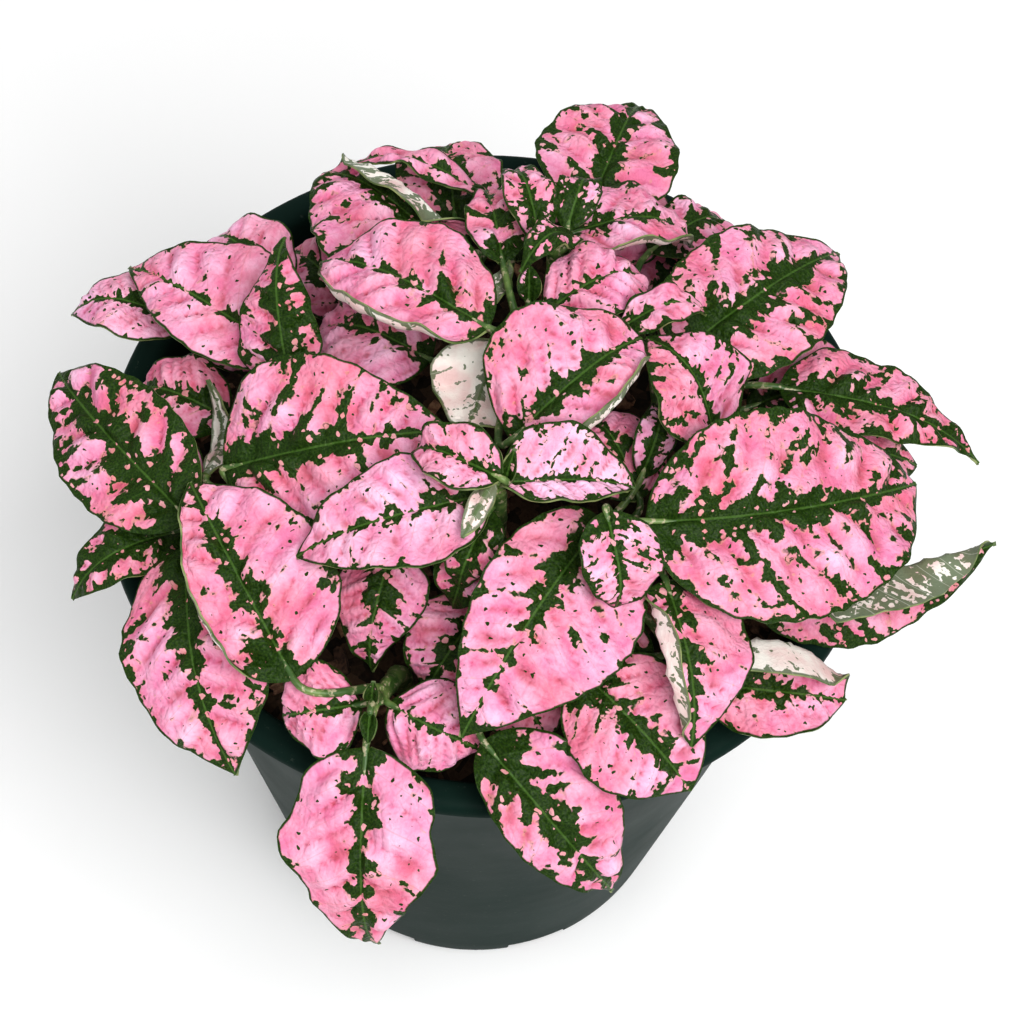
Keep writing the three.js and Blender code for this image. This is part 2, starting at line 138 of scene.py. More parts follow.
def vectorOf(tree, x, y, z):
    node = tree.nodes.new("ShaderNodeCombineXYZ")
    for value, socket in zip((x, y, z), node.inputs):
        link(tree, value, socket)
    return node.outputs[0]


def noiseOf(tree, vector, scale, detail=2.0, roughness=0.5, output="Fac"):
    node = tree.nodes.new("ShaderNodeTexNoise")
    tree.links.new(vector, node.inputs["Vector"])
    node.inputs["Scale"].default_value = scale
    node.inputs["Detail"].default_value = detail
    node.inputs["Roughness"].default_value = roughness
    return node.outputs[output]


def voronoiOf(tree, vector, scale, feature="F1", dimensions="3D", randomness=1.0):
    node = tree.nodes.new("ShaderNodeTexVoronoi")
    node.feature = feature
    node.voronoi_dimensions = dimensions
    tree.links.new(vector, node.inputs["Vector"])
    node.inputs["Scale"].default_value = scale
    node.inputs["Randomness"].default_value = randomness
    return node.outputs


def stepOf(tree, value, low, high):
    node = tree.nodes.new("ShaderNodeMapRange")
    node.interpolation_type = "SMOOTHSTEP"
    for amount, socket in zip((value, low, high, 0.0, 1.0), node.inputs[:5]):
        link(tree, amount, socket)
    return node.outputs[0]


# The sockets of a mix of colours and of vectors: its two values and its result.
mixSockets = {"RGBA": (6, 7, 2), "VECTOR": (4, 5, 1)}


def mixOf(tree, share, first, second, blend="MIX", kind="RGBA"):
    node = tree.nodes.new("ShaderNodeMix")
    node.data_type = kind
    node.blend_type = blend
    one, two, result = mixSockets[kind]
    link(tree, share, node.inputs[0])
    link(tree, first, node.inputs[one])
    link(tree, second, node.inputs[two])
    return node.outputs[result]


def bumpOf(tree, height, strength, distance, normal=None):
    node = tree.nodes.new("ShaderNodeBump")
    node.inputs["Strength"].default_value = strength
    node.inputs["Distance"].default_value = distance
    tree.links.new(height, node.inputs["Height"])
    if normal:
        tree.links.new(normal, node.inputs["Normal"])
    return node.outputs[0]


def objectPlace(tree):
    return tree.nodes.new("ShaderNodeTexCoord").outputs["Object"]


# Camera, floor and lights

cameraView = {
    "elevation": 59,
    "roll": 4.15,
    "target": (0, 0, 100),
    "distance": 548.1,
    "slide": (5.47, 12.74),
    "lens": 91.4,
}


def placeCamera(view):
    rise = math.radians(view["elevation"])
    roll = math.radians(view["roll"])
    back = Vector((0, -math.cos(rise), math.sin(rise)))
    flatRight = Vector((1, 0, 0))
    flatUp = back.cross(flatRight)
    right = flatRight * math.cos(roll) + flatUp * math.sin(roll)
    up = flatUp * math.cos(roll) - flatRight * math.sin(roll)
    slideRight, slideUp = view["slide"]
    place = Vector(view["target"]) + back * view["distance"] + right * slideRight + up * slideUp
    bpy.ops.object.camera_add()
    camera = bpy.context.object
    camera.data.lens = view["lens"]
    camera.data.clip_start = 0.01
    turn = Matrix((right, up, back)).transposed().to_4x4()
    camera.matrix_world = Matrix.Translation(place * mm) @ turn
    bpy.context.scene.camera = camera


# The studio is in metres, and each light's power in watts.
studio = {
    "floorSize": 12,
    "floorColour": (0.98, 0.98, 0.98, 1),
    "lightAim": (0, 0, 0.14),
    "keyLight": {"place": (0.3, -0.5, 1.0), "size": 0.75, "power": 11},
    "fillLight": {"place": (-1.0, -0.3, 0.6), "size": 1.2, "power": 3},
    "backLight": {"place": (-0.2, 1.0, 0.9), "size": 1.4, "power": 4},
    "skyColour": (1, 1, 1, 1),
    "skyStrength": 0.24,
    "look": "Medium High Contrast",
}


def addAreaLight(name, lamp, aim):
    bpy.ops.object.light_add(type="AREA", location=lamp["place"])
    light = bpy.context.object
    light.name = name
    light.data.size = lamp["size"]
    light.data.energy = lamp["power"]
    light.rotation_euler = (Vector(aim) - Vector(lamp["place"])).to_track_quat("-Z", "Y").to_euler()


def buildStudio(studio):
    bpy.ops.mesh.primitive_plane_add(size=studio["floorSize"])
    floor = bpy.context.object
    floor.name = "studioFloor"
    material, tree, shader = newMaterial("palePaper")
    setSurface(tree, shader, studio["floorColour"], 0.9, specular=0.2)
    floor.data.materials.append(material)
    for name in ("keyLight", "fillLight", "backLight"):
        addAreaLight(name, studio[name], studio["lightAim"])
    world = bpy.data.worlds.new("studioWorld")
    world.use_nodes = True
    background = world.node_tree.nodes["Background"]
    background.inputs["Color"].default_value = studio["skyColour"]
    background.inputs["Strength"].default_value = studio["skyStrength"]
    bpy.context.scene.world = world
    bpy.context.scene.view_settings.view_transform = "Standard"
    bpy.context.scene.view_settings.look = studio["look"]


placeCamera(cameraView)
buildStudio(studio)
print("camera, floor and lights placed")


# Leaf finishes

leafFinish = {
    "darkGreen": (0.012, 0.034, 0.004, 1),
    "midGreen": (0.032, 0.070, 0.007, 1),
    "ribGreen": (0.060, 0.125, 0.022, 1),
    "salmon": (0.72, 0.145, 0.21, 1),
    "lilac": (0.74, 0.23, 0.42, 1),
    "paleSalmon": (0.90, 0.42, 0.53, 1),
    "paleLilac": (0.93, 0.58, 0.78, 1),
    "tan": (0.62, 0.36, 0.22, 1),
    # painted shade tint for the leaves low inside the plant
    "dull": (0.42, 0.34, 0.36, 1),
    # painted shade colour for the creases of the quilting
    "creaseShadePink": (0.50, 0.11, 0.15, 1),
    "veinPink": (0.66, 0.20, 0.20, 1),
    "cream": (0.92, 0.89, 0.82, 1),
    "creamPink": (0.80, 0.56, 0.54, 1),
    "underGreen": (0.055, 0.105, 0.030, 1),
    "rimGreen": (0.07, 0.13, 0.03, 1),
    "rimPale": (0.26, 0.30, 0.12, 1),
    "toneShare": 0.5,
    "cloudShare": 0.6,
    "lightShare": 0.75,
    "washShare": 2.6,
    # painted highlight on the crests of the quilting
    "crestHighlightShare": 0.5,
    # painted shade in the creases of the quilting
    "creaseShadeShare": 0.75,
    "tanShare": 0.45,
    "veinShare": 0.3,
    # painted shade on the leaves low inside the plant
    "innerShadeShare": 0.6,
    "innerShadeBelow": (0.172, 0.150),  # heights and distances from the axis, in metres
    "innerShadeInside": (0.066, 0.046),
    "roughness": 0.46,
    "greenSmoother": 0.05,
    "netHeight": 0.35,
    "crumpleHeight": 1.6,
}

# The mottling: lengths in mm, scales per mm, and how much each term counts. A point is green where
# their sum passes the level.
mottling = {
    "cellSize": 0.5,
    "cellShare": 0.45,
    "bend": 1.6,
    "bendScale": 0.75,
    "seedShift": 53,
    "slant": 0.6,
    "longScale": 0.27,
    "longShare": 0.75,
    "roundScale": 0.33,
    "roundShare": 0.48,
    "lobeScale": 0.55,
    "lobeShare": 0.4,
    "ribWidth": 5.5,
    "ribShare": 0.34,
    "edgeFade": 0.8,
    "edgeShare": 0.22,
    "veinShare": 0.09,
    "level": 1.1,
    "greenShare": 0.42,
    "blur": 0.012,
    "dotScale": 0.6,
    "dotChance": (0.7, 1.05),
    "dotSize": 0.22,
    "dotExtra": 0.16,
    "margin": (0.85, 0.55),
    "underExtra": -0.07,
    "underFiner": 1.8,
}


# Where a point of the blade is green, 0 to 1, and the lines and values that the colours need there,
# from the attributes on the blade. A lower extra gives more green, and a higher finer smaller blots.
def leafPattern(tree, marks, extra=0.0, finer=1.0):
    across, ahead, seed = partsOf(tree, attributeOf(tree, "bladePlace").outputs["Vector"])
    share, veins, edge = partsOf(tree, attributeOf(tree, "bladeSpan").outputs["Vector"])
    look = attributeOf(tree, "bladeLook")
    green, rib, tone = partsOf(tree, look.outputs["Vector"])
    grain, relief, _ = partsOf(tree, attributeOf(tree, "bladeGrain").outputs["Vector"])
    grain = times(tree, grain, finer)
    # ragged borders: the pattern is bent a little, and read at the middle of small cells
    shift = times(tree, seed, marks["seedShift"])
    place = vectorOf(tree, plus(tree, across, shift), ahead, 0.0)
    bendX, bendY, _ = partsOf(tree, noiseOf(tree, place, marks["bendScale"], detail=1.5, output="Color"))
    bentX = plus(tree, across, times(tree, minus(tree, bendX, 0.5), marks["bend"]))
    bentY = plus(tree, ahead, times(tree, minus(tree, bendY, 0.5), marks["bend"]))
    cellPlace = vectorOf(tree, plus(tree, bentX, shift), bentY, 0.0)
    cell = voronoiOf(tree, cellPlace, 1 / marks["cellSize"], dimensions="2D", randomness=0.9)
    middle = mixOf(tree, marks["cellShare"], cellPlace, cell["Position"], kind="VECTOR")
    middleX, middleY, _ = partsOf(tree, middle)
    middleX = minus(tree, middleX, shift)
    fromRib = mathOf(tree, "ABSOLUTE", middleX)
    # long blotches that follow the side veins, and rounder ones
    slanted = minus(tree, middleY, times(tree, fromRib, marks["slant"]))
    stretchX = times(tree, middleX, 0.5, grain)
    stretched = vectorOf(tree, stretchX, times(tree, slanted, grain), times(tree, seed, 17))
    even = vectorOf(tree, times(tree, middleX, grain), times(tree, middleY, grain), times(tree, seed, 29))
    longBlots = noiseOf(tree, stretched, marks["longScale"], detail=1)
    roundBlots = noiseOf(tree, even, marks["roundScale"])
    lobes = noiseOf(tree, even, marks["lobeScale"], detail=1)
    blots = plus(
        tree,
        times(tree, longBlots, marks["longShare"]),
        times(tree, roundBlots, marks["roundShare"]),
        times(tree, lobes, marks["lobeShare"]),
    )
    # the midrib's zone is widest near the base and breaks up towards the tip
    ribWide = times(tree, rib, stepOf(tree, share, 1.1, 0.2), marks["ribWidth"])
    ribReach = minus(tree, 1.0, mathOf(tree, "DIVIDE", fromRib, plus(tree, ribWide, 0.4)))
    ribTerm = times(tree, mathOf(tree, "MAXIMUM", ribReach, -0.1), marks["ribShare"])
    nearEdge = mathOf(tree, "EXPONENT", times(tree, edge, -marks["edgeFade"]))
    edgeTerm = times(tree, nearEdge, marks["edgeShare"])
    vein = mathOf(tree, "ABSOLUTE", minus(tree, mathOf(tree, "FRACT", veins), 0.5))
    veinTerm = times(tree, stepOf(tree, vein, 0.28, 0.5), marks["veinShare"])
    field = plus(tree, blots, ribTerm, plus(tree, edgeTerm, veinTerm))
    level = minus(tree, marks["level"] + extra, times(tree, green, marks["greenShare"]))
    over = minus(tree, field, level)
    mask = stepOf(tree, over, -marks["blur"], marks["blur"])
    # single dots: dark ones in the pink and pink ones in the green
    dots = voronoiOf(tree, cellPlace, marks["dotScale"], dimensions="2D")
    chance = stepOf(tree, partsOf(tree, dots["Color"])[0], *marks["dotChance"])
    dotSize = times(tree, chance, plus(tree, times(tree, mask, marks["dotExtra"]), marks["dotSize"]))
    dot = stepOf(tree, minus(tree, dotSize, dots["Distance"]), -0.02, 0.02)
    mask = mathOf(tree, "ABSOLUTE", minus(tree, mask, dot))
    marginLine = stepOf(tree, plus(tree, edge, times(tree, roundBlots, 0.6)), *marks["margin"])
    mask = mathOf(tree, "MAXIMUM", mask, marginLine)
    return {
        "mask": mask,
        "border": times(tree, stepOf(tree, over, -0.045, -0.01), minus(tree, 1.0, mask)),
        "midLine": stepOf(tree, mathOf(tree, "ABSOLUTE", across), 0.3, 0.1),
        "veinLine": stepOf(tree, vein, 0.475, 0.497),
        "tone": tone,
        "light": look.outputs["Alpha"],
        "place": place,
        "relief": relief,
    }


# Distance to the edges of the fine net of veins.
def veinNet(tree, place, scale):
    return voronoiOf(tree, place, scale, feature="DISTANCE_TO_EDGE", dimensions="2D")["Distance"]


def leafTopMaterial(finish, marks):
    material, tree, shader = newMaterial("leafTop")
    pattern = leafPattern(tree, marks)
    place = pattern["place"]
    relief = pattern["relief"]
    # pink from salmon to lilac in broad clouds, paler in a wash, and paler on the crests of the quilting as
    # a painted highlight
    clouds = stepOf(tree, noiseOf(tree, place, 0.06, detail=3, roughness=0.6), 0.34, 0.66)
    toneTerm = times(tree, pattern["tone"], finish["toneShare"])
    tone = mathOf(tree, "ADD", toneTerm, times(tree, clouds, finish["cloudShare"]), clamp=True)
    wash = minus(tree, noiseOf(tree, place, 0.16, detail=5, roughness=0.65), 0.5)
    lightTerm = times(tree, pattern["light"], finish["lightShare"])
    lightTerm = plus(tree, lightTerm, times(tree, wash, finish["washShare"]))
    # painted highlight: the crests of the quilting are made paler
    pale = mathOf(tree, "ADD", lightTerm, times(tree, relief, finish["crestHighlightShare"]), clamp=True)
    deepPink = mixOf(tree, tone, finish["salmon"], finish["lilac"])
    palePink = mixOf(tree, tone, finish["paleSalmon"], finish["paleLilac"])
    pink = mixOf(tree, pale, deepPink, palePink)
    # painted shade: the creases of the quilting are darkened towards a deep pink
    crease = times(tree, stepOf(tree, relief, -0.05, -0.5), finish["creaseShadeShare"])
    pink = mixOf(tree, crease, pink, finish["creaseShadePink"])
    pink = mixOf(tree, times(tree, pattern["border"], finish["tanShare"]), pink, finish["tan"])
    veinShare = times(tree, pattern["veinLine"], finish["veinShare"])
    pink = mixOf(tree, veinShare, pink, finish["veinPink"])
    speckle = stepOf(tree, noiseOf(tree, place, 2.6), 0.35, 0.7)
    greens = mixOf(tree, speckle, finish["darkGreen"], finish["midGreen"])
    greens = mixOf(tree, veinShare, greens, finish["ribGreen"])
    greens = mixOf(tree, pattern["midLine"], greens, finish["ribGreen"])
    colour = mixOf(tree, pattern["mask"], pink, greens)
    # painted shade: the leaves low inside the plant, under its crown, are darkened
    x, y, z = partsOf(tree, objectPlace(tree))
    fromAxis = mathOf(tree, "SQRT", plus(tree, times(tree, x, x), times(tree, y, y)))
    inside = stepOf(tree, fromAxis, *finish["innerShadeInside"])
    dull = times(tree, stepOf(tree, z, *finish["innerShadeBelow"]), inside, finish["innerShadeShare"])
    colour = mixOf(tree, dull, colour, finish["dull"], blend="MULTIPLY")
    roughness = minus(tree, finish["roughness"], times(tree, pattern["mask"], finish["greenSmoother"]))
    crumple = times(tree, noiseOf(tree, place, 0.7, detail=4, roughness=0.62), finish["crumpleHeight"])
    net = times(tree, stepOf(tree, veinNet(tree, place, 0.6), 0.0, 0.3), finish["netHeight"])
    normal = bumpOf(tree, plus(tree, net, crumple), 0.7, 0.0005)
    setSurface(tree, shader, colour, roughness, normal, specular=0.16)
    return material


def leafUnderMaterial(finish, marks):
    material, tree, shader = newMaterial("leafUnderside")
    pattern = leafPattern(tree, marks, marks["underExtra"], marks["underFiner"])
    place = pattern["place"]
    blush = stepOf(tree, noiseOf(tree, place, 0.14, detail=3), 0.35, 0.68)
    pale = mixOf(tree, blush, finish["cream"], finish["creamPink"])
    clouds = times(tree, noiseOf(tree, place, 1.4, detail=3), 0.6)
    greens = mixOf(tree, clouds, finish["underGreen"], finish["ribGreen"])
    colour = mixOf(tree, times(tree, pattern["mask"], 0.85), pale, greens)
    colour = mixOf(tree, times(tree, pattern["veinLine"], 0.35), colour, finish["cream"])
    colour = mixOf(tree, times(tree, pattern["midLine"], 0.6), colour, finish["ribGreen"])
    normal = bumpOf(tree, stepOf(tree, veinNet(tree, place, 1.15), 0.2, 0.0), 0.3, 0.00015)
    setSurface(tree, shader, colour, 0.55, normal, specular=0.35)
    return material


def leafRimMaterial(finish):
    material, tree, shader = newMaterial("leafRim")
    tint = stepOf(tree, noiseOf(tree, objectPlace(tree), 260), 0.35, 0.65)
    setSurface(tree, shader, mixOf(tree, tint, finish["rimGreen"], finish["rimPale"]), 0.5)
    return material


leafMaterials = [
    leafTopMaterial(leafFinish, mottling),
    leafUnderMaterial(leafFinish, mottling),
    leafRimMaterial(leafFinish),
]

# How the kinds of leaves look: share of green, width of the green zone at the midrib,
# tone from salmon to lilac, lightness, grain of the pattern, and how strongly the leaf is quilted.
leafKinds = {
    "paleCrown": {"green": 0.1, "rib": 0.2, "tone": 0.9, "light": 0.95, "grain": 1.4, "quilt": 0.8},
    "lilac": {"green": 0.2, "rib": 0.5, "tone": 0.85, "light": 0.7, "grain": 1.2, "quilt": 0.9},
    "rosy": {"green": 0.2, "rib": 0.8, "tone": 0.5, "light": 0.45, "grain": 1.0, "quilt": 1.2},
    "clear": {"green": 0.08, "rib": 0.3, "tone": 0.4, "light": 0.5, "grain": 1.1, "quilt": 1.0},
    "blotched": {"green": 0.42, "rib": 0.85, "tone": 0.4, "light": 0.4, "grain": 1.1, "quilt": 1.15},
    "dark": {"green": 0.62, "rib": 1.0, "tone": 0.4, "light": 0.4, "grain": 1.2, "quilt": 1.0},
    "quilted": {"green": 0.16, "rib": 0.25, "tone": 0.55, "light": 0.45, "grain": 1.6, "quilt": 1.8},
    "young": {"green": 0.4, "rib": 0.3, "tone": 0.7, "light": 0.6, "grain": 2.0, "quilt": 1.0},
}

# A leaf's usual form: angles in degrees, the arch, nod, sweep and wave in mm, and the rest as shares.
leafShape = {
    "roll": 0,
    "arch": 4,
    "nod": 2,
    "sweep": 0,
    "fold": 8,
    "cup": -20,
    "curlLeft": 0,
    "curlRight": 0,
    "curlStart": 0.55,
    "curlEnd": 1,
    "uneven": 0,
    "widest": 0.4,
    "blunt": 0.55,
    "point": 0.9,
    "wave": 0.8,
    "shoulder": 0,
}

budShape = {"arch": 0.5, "nod": 0, "fold": 25, "cup": 0, "wave": 0}
foldedOver = {"curlLeft": 128, "curlStart": 0, "curlEnd": 0.25}


def leaf(at, to, width, kind="rosy", **shape):
    return {**leafShape, **leafKinds[kind], "at": at, "to": to, "width": width, **shape}


def shoot(foot, top, leaves):
    return {"foot": foot, "top": top, "leaves": leaves}


# Each leafy stem: its foot, its top, and its leaves, each from its base to its tip.
stems = {
    "stem_centre": shoot((2, -22), (2, -30, 183), [
        leaf(
            (2, -31, 187), (26, -26, 180), 17, "paleCrown",
            roll=-15, arch=1, nod=1, fold=25, cup=0, uneven=0.25, green=0.34, grain=1.9,
        ),
        leaf(
            (0, -32.4, 185), (-33, -41.8, 174), 22, "lilac",
            roll=11, arch=2, fold=7, cup=-8, widest=0.33, blunt=0.45,
        ),
        leaf((2, -32, 190), (-13, -25, 186), 13, "young", arch=2, fold=25, cup=0, green=0.25),
        leaf(
            (-17, -35, 166), (-19, -52, 152), 18,
            fold=-5, cup=-10, widest=0.22, blunt=0.4, point=1.3, grain=1.2,
        ),
        leaf((1, -40, 160), (-9, -55, 150), 20, green=0.35),
        leaf((1, -30, 170), (-5, -43, 162), 14, green=0.35),
        leaf((3, -31, 187.5), (4.3, -27.6, 193), 3, "young", **budShape, green=0.5),
        leaf(
            (0.6, -32.3, 189), (-3.6, -43.3, 187.5), 4.5, "clear",
            roll=180, arch=0, nod=0, wave=0, green=0,
        ),
        leaf((0.5, -31, 177), (-4, -42, 168), 10),
    ]),
    "stem_centre_right": shoot((18, -24), (22, -34, 183), [
        leaf(
            (21, -35.5, 187), (24, -47.3, 174.3), 15, "young",
            arch=3, fold=10, cup=-25, uneven=0.1, point=0.7,
        ),
        leaf(
            (28.5, -31.5, 178), (79.8, -10, 163), 40, "blotched",
            arch=5, sweep=3, cup=-15, uneven=-0.03, point=0.8, green=0.5,
        ),
        leaf(
            (21, -32, 178), (-1.5, -68, 160), 30,
            sweep=1.5, fold=6, cup=-15, uneven=0.22, widest=0.36, blunt=0.42, point=1.05,
        ),
        leaf(
            (33, -40, 172), (39.3, -66.3, 159.5), 23,
            fold=0, cup=-15, curlRight=128, curlStart=0.35, curlEnd=0.7, uneven=0.17, point=1, tone=0.65,
        ),
        leaf((28, -16, 168), (30, -1, 170), 8, "young"),
        leaf((28, -19, 165), (17, -2, 163), 20),
        leaf((32, -48, 158), (23, -45, 152), 14),
    ]),
    "stem_front_left": shoot((-14, -46), (-17, -61, 158), [
        leaf((-20, -62, 158), (-34, -63.4, 154), 18, "quilted", nod=1, cup=-25, point=0.7),
        leaf((-15, -61, 157), (2, -65.5, 150.5), 19, "quilted", nod=0.5, fold=-10, point=0.7),
        leaf(
            (-32, -61, 164), (-54.5, -25, 169), 28,
            roll=15, arch=2.5, fold=6, cup=-12, curlLeft=120, curlStart=0.64, uneven=-0.2, tone=0.35,
            green=0.26, rib=1,
        ),
        leaf(
            (-18.4, -70, 157), (-14.5, -92, 120), 28,
            arch=9, nod=3, uneven=-0.02, widest=0.29, blunt=0.5, point=1.9, shoulder=0.08, green=0.16,
        ),
        leaf((-17.9, -66.4, 163.5), (-17.8, -71.4, 161.5), 3.4, "young", **budShape),
        leaf((-17.8, -63.5, 163), (-17.6, -61.7, 167), 3, "young", **budShape),
    ]),
    "stem_left": shoot((-34, -18), (-46, -24, 164), [
        leaf((-54.4, -30, 164), (-84.7, 5.5, 156), 25, "blotched", arch=3, cup=-15, point=1, green=0.55),
        leaf((-53.1, -18, 160), (-54.9, 1.1, 164), 5, "clear", roll=180, green=-0.2),
        leaf((-25, -22, 166), (-49, -19, 160), 15, "dark"),
        leaf((-57, -27, 155), (-76, -40, 149), 14, "blotched", green=0.55),
        leaf((-55, -33, 160), (-42, -72, 146), 32, "blotched", arch=5.5, uneven=0.1, point=1),
        leaf(
            (-49, -20, 167), (-7.5, -16.5, 180), 33, "blotched",
            roll=14, cup=-15, uneven=0.1, widest=0.33, point=1,
        ),
        leaf((-51, -2, 156), (-70, 6, 150), 18),
        leaf((-54, -16, 154), (-80, -9, 150), 20),
    ]),
    "stem_upper_left": shoot((-30, 4), (-38, 2, 166), [
        leaf((-39.1, 4.4, 168), (-74, 28.7, 160), 25, "clear", arch=3, cup=-10, uneven=-0.2, point=1.2),
        leaf(
            (-38.2, -4.2, 171.5), (-42, 24.4, 179.5), 18, "blotched",
            fold=-15, cup=-15, uneven=0.2, widest=0.25, point=1.4, green=0.48,
        ),
        leaf((-43.5, 27, 158), (-59, 41.5, 154), 19, "lilac"),
        leaf((-62, 19, 156), (-84.8, 21.6, 153), 18, "lilac", grain=1.5, light=0.85),
        leaf((-44, 15, 151), (-61, 29, 150), 20),
    ]),
    "stem_top_centre": shoot((6, 6), (4, 8, 178), [
        leaf(
            (-2.2, 2.5, 186), (-34.7, 20.3, 178), 29,
            arch=3, cup=-12, curlLeft=115, curlStart=0.6, widest=0.48, point=1, green=0.12,
        ),
        leaf((-0.6, 23, 178.5), (-5.3, 44, 173), 12, arch=2, nod=1, fold=15),
        leaf((8, 12, 179), (27, 24, 174), 18, "quilted", cup=-30, point=0.7),
        leaf(
            (3.5, -17.5, 180), (26, 4, 184), 30,
            green=0.3, grain=1.25, cup=-15, curlRight=128, curlStart=0.6, curlEnd=0.92, uneven=0.15,
            point=0.75,
        ),
        leaf((-13, 8, 166), (-36, 16, 160), 26),
        leaf((-0.5, 4, 180), (-5, -13.5, 176), 21, "clear", roll=180, arch=1),
        leaf((-4.4, 15, 176), (0.5, 22.5, 180), 5, "young", roll=180, arch=1),
        leaf((4.8, 15.4, 177), (4.4, 21.5, 180.5), 5, "young", **budShape, green=0.7),
    ]),
    "stem_back": shoot((10, 24), (9, 27, 180), [
        leaf((6, 27, 181), (-1, 45, 177), 10, "young"),
        leaf((11, 30, 181), (14, 43, 177), 9, "young", green=0.6),
        leaf((13, 28, 181), (3, 17, 184), 8, "young", green=0.6),
        leaf((12, 33, 176), (36, 38, 168), 23, curlRight=90, grain=1.3),
        leaf((15.5, 45.5, 168), (25, 82, 156), 29, "blotched", cup=-15, uneven=0.05, widest=0.3, point=1.6),
        leaf((18, 36, 160), (25, 64, 154), 22),
    ]),
    "stem_back_left": shoot((-8, 34), (-6, 34, 166), [
        leaf(
            (-9, 29, 169), (-38, 52.5, 164), 31, "blotched",
            arch=3, curlRight=168, curlStart=0.2, curlEnd=0.6, uneven=0.27,
        ),
        leaf((-4, 48, 165), (-34, 56, 161), 8, "clear", grain=1.6),
        leaf((-11, 46, 160), (-15, 70, 152), 22, "blotched"),
        leaf((-21, 30, 155), (-33, 57, 151), 24),
        leaf((1, 41, 155), (3, 65, 151), 18),
        leaf((-29, 27, 151), (-45, 42.5, 149.5), 18),
    ]),
    "stem_back_right": shoot((32, 12), (36, 5, 168), [
        leaf((32, 6, 175), (65.1, 41, 165), 30, "blotched", cup=-15, point=1, rib=1.2),
        leaf((28, 39, 164), (44, 51, 156), 15, "blotched"),
        leaf((41, -9, 172), (27, 6, 181), 23, "blotched", cup=-10, grain=1.5, rib=0.3),
        leaf((22, 8, 181), (38, 14, 179), 9, "clear"),
        leaf(
            (54, 9, 164), (94.3, 3.2, 151), 21, "blotched",
            uneven=0.15, widest=0.3, point=1.4, grain=1.4, tone=0.2,
        ),
        leaf((37, 22, 157), (57, 45, 152), 26),
        leaf((49, 11, 153), (75, 20, 150), 20),
        leaf((31, 34, 151), (40, 62, 149.5), 18),
    ]),
    "stem_right": shoot((38, -22), (44, -33, 158), [
        leaf(
            (50, -33, 156), (97, -14.8, 151.5), 26, "dark",
            **foldedOver, roll=22, arch=3, nod=1, widest=0.35, point=1.2,
        ),
        leaf(
            (41.2, -50.5, 153.5), (68.3, -50, 150), 27,
            arch=2, nod=1, fold=15, cup=-10, curlLeft=132, curlStart=0.4, curlEnd=0.62, uneven=0.33,
            point=0.8, tone=0.3,
        ),
        leaf((51, -19, 151), (79, -12, 149.5), 16),
        leaf((50, -4, 157), (82, 1, 152), 22),
    ]),
    "stem_front_right": shoot((12, -42), (12, -54, 160), [
        leaf((18.5, -53.5, 162), (40, -71, 151), 26, arch=3.5, widest=0.5, rib=1.3, green=0.25),
        leaf(
            (2.4, -66.6, 156), (28, -82.4, 130), 21.5,
            arch=8, uneven=0.22, blunt=0.45, point=1.2, rib=1.2, green=0.25,
        ),
        leaf((4, -46, 151), (14, -62, 147), 20),
    ]),
}

# Lengths in mm. The veins are the spaces between the creases of the side veins along a blade.
bladeBuild = {
    "cell": 0.8,
    "fineCell": 0.5,
    "smallLeaf": 20,
    "thickness": 0.9,
    "thinShare": 0.4,
    "lift": 0.18,
    "tipHalfWidth": 0.12,
    "footHalfWidth": 0.8,
    "scallop": 0.014,
    "scallopLength": 4.6,
    "ripple": 0.25,
    "rippleLength": 7.3,
    "veins": 7.5,
    "fewVeins": 6,
    "narrowLeaf": 12,
    "veinSlant": 0.62,
    "veinBend": 0.006,
    "veinDrift": 0.25,
    "veinSway": 0.4,
    "quiltHeight": 1.5,
    "puff": 0.85,
    "puffChange": 0.4,
    "bumps": 0.28,
    "marginFade": 0.85,
    "rollFade": 0.85,
    "groove": 0.35,
    "swell": 0.6,
    "veinThickness": 0.3,
    "smoothAngle": 50,
}


def smooth(t):
    t = np.clip(t, 0, 1)
    return t * t * (3 - 2 * t)


def unit(vectors):
    return vectors / np.linalg.norm(vectors, axis=-1, keepdims=True)


# Points of the midrib at the shares s, and the directions ahead, above and to the right there.
def midribOf(shape, s):
    base = np.array(shape["at"], float)
    span = np.array(shape["to"], float) - base
    along = unit(span)
    middle = base + span / 2
    lean = unit(np.array([middle[0] * 0.009, middle[1] * 0.009, 1]))
    top = unit(lean - along * lean.dot(along))
    roll = math.radians(shape["roll"])
    top = top * math.cos(roll) + np.cross(along, top) * math.sin(roll)
    right = np.cross(along, top)
    # the arch is highest in the middle, and the nod two thirds along
    rise = shape["arch"] * 4 * s * (1 - s) + shape["nod"] * 6.75 * s * s * (1 - s)
    climb = shape["arch"] * 4 * (1 - 2 * s) + shape["nod"] * 6.75 * (2 * s - 3 * s * s)
    bend = shape["sweep"] * 4 * s * (1 - s)
    swing = shape["sweep"] * 4 * (1 - 2 * s)
    points = base + np.outer(s, span) + np.outer(rise, top) + np.outer(bend, right)
    ahead = unit(span + np.outer(climb, top) + np.outer(swing, right))
    above = unit(top - ahead * (ahead @ top)[:, None])
    return points, ahead, above, np.cross(ahead, above)


# Half the width of a leaf's outline at s, as a share of the widest.
def outlineAt(shape, s):
    widest = shape["widest"]
    near = np.where(s < widest, s / widest, (1 - s) / (1 - widest))
    return (1 - (1 - near) ** 2) ** np.where(s < widest, shape["blunt"], shape["point"])


# Half the width of the blade on one side at s, in mm.
def reachOf(shape, build, side, s, length, phases):
    notch = 1 + shape["shoulder"] * np.sin(2 * np.pi * 3.2 * s + side)
    scallop = build["scallop"] * np.sin(2 * np.pi * s * length / build["scallopLength"] + phases[0] + side)
    scallop = 1 + scallop * smooth(5 * s) * smooth(6 * (1 - s))
    reach = shape["width"] / 2 * outlineAt(shape, s) * (1 - side * shape["uneven"]) * notch * scallop
    return np.maximum(reach, build["footHalfWidth"] * np.exp(-s * 40) + build["tipHalfWidth"])


